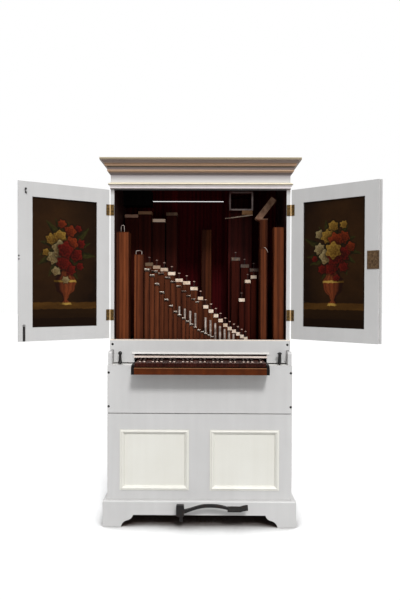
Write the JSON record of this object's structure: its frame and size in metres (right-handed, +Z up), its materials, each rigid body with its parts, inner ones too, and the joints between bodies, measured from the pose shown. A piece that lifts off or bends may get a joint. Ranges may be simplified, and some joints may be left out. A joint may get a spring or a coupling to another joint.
{
  "type": "cabinet pipe organ",
  "caption": "Free-standing cabinet pipe organ: painted case on a plinth, keyboard at the front, hinged doors over the open pipe chamber, iron stop levers and a blowing pedal.",
  "frame": {"origin": "floor point under the middle of the bounding box with the doors open as stored", "axes": "+Z up, +X to the player's right, +Y from the keyboard side to the back of the case"},
  "size_m": [1.8522, 0.776, 2.006],
  "materials": {
    "case_paint": "satin",
    "cornice_paint": "satin",
    "cream_paint": "satin",
    "back_wood": "matte",
    "key_wood": "satin",
    "key_ebony": "satin",
    "sharp_bone": "satin",
    "rail_wood": "satin",
    "painted_panel": "satin",
    "black_iron": "matte",
    "hinge_brass": "aged",
    "pipe_wood": "matte",
    "stopper_head": "matte",
    "pipe_metal": "dull"
  },
  "bodies": {
    "case": {"left_side": "case_paint", "right_side": "case_paint", "lower_back": "back_wood", "upper_back": "back_wood", "bottom_board": "back_wood", "top_board": "back_wood", "frieze_board": "case_paint", "cornice": "cornice_paint", "bead_moulding": "cream_paint", "nameboard": "case_paint", "nameboard_listel": "cream_paint", "stop_ledges": "case_paint", "lower_front_board": "case_paint", "lower_stiles": "case_paint", "lower_rails": "case_paint", "lower_panels": "cream_paint", "panel_mouldings": "cream_paint", "plinth_front": "case_paint", "plinth_sides": "case_paint", "foot_blocks": "back_wood", "key_frame": "key_wood", "natural_keys": "key_ebony", "sharp_keys": "sharp_bone", "key_slip": "rail_wood", "key_blocks": "key_ebony", "key_shelf": "back_wood", "key_batten": "rail_wood", "jamb_hinge_leaves": "hinge_brass", "stop_brackets": "black_iron", "pedal_bracket": "black_iron", "wind_chest": "back_wood", "main_pipes": "pipe_wood", "main_stoppers": "stopper_head", "front_pipes": "pipe_wood", "front_flaps": "pipe_metal", "middle_pipes": "pipe_wood", "metal_pipes": "pipe_metal", "rear_pipes": "pipe_wood", "rear_stoppers": "stopper_head", "right_pipes": "pipe_wood", "right_stoppers": "stopper_head", "tall_pipes": "pipe_wood", "right_mitred_pipe": "pipe_wood", "left_bass_limb": "pipe_wood", "stopper_handles": "back_wood"},
    "left_door": {"left_door_stiles": "case_paint", "left_door_rails": "case_paint", "left_door_panel": "painted_panel", "left_door_bolts": "black_iron", "left_door_hinge_leaves": "hinge_brass"},
    "right_door": {"right_door_stiles": "case_paint", "right_door_rails": "case_paint", "right_door_panel": "painted_panel", "right_door_lock": "hinge_brass", "right_door_hinge_leaves": "hinge_brass"},
    "left_stop": {"left_stop_lever": "black_iron"},
    "right_stop": {"right_stop_lever": "black_iron"},
    "pedal": {"pedal_bar": "black_iron", "pedal_arm": "black_iron"}
  },
  "joints": [
    {"name": "left_door_hinge", "type": "hinge", "parent": "case", "child": "left_door", "pos_m": [-0.49362, -0.07548, 1.432], "axis": [0, 0, 1], "range_deg": [-31.5, 148.5]},
    {"name": "right_door_hinge", "type": "hinge", "parent": "case", "child": "right_door", "pos_m": [0.51238, -0.07548, 1.432], "axis": [0, 0, -1], "range_deg": [-38.7, 141.3]},
    {"name": "left_stop_tilt", "type": "hinge", "parent": "case", "child": "left_stop", "pos_m": [-0.42862, -0.12698, 0.8], "axis": [0, 1, 0], "range_deg": [-8, 8]},
    {"name": "right_stop_tilt", "type": "hinge", "parent": "case", "child": "right_stop", "pos_m": [0.44738, -0.12698, 0.8], "axis": [0, 1, 0], "range_deg": [-8, 8]},
    {"name": "pedal_press", "type": "hinge", "parent": "case", "child": "pedal", "pos_m": [-0.08762, 0.25802, 0.05], "axis": [1, 0, 0], "range_deg": [0, 4.2], "stiffness_Nm_per_rad": 60, "springref_deg": -17.19}
  ]
}
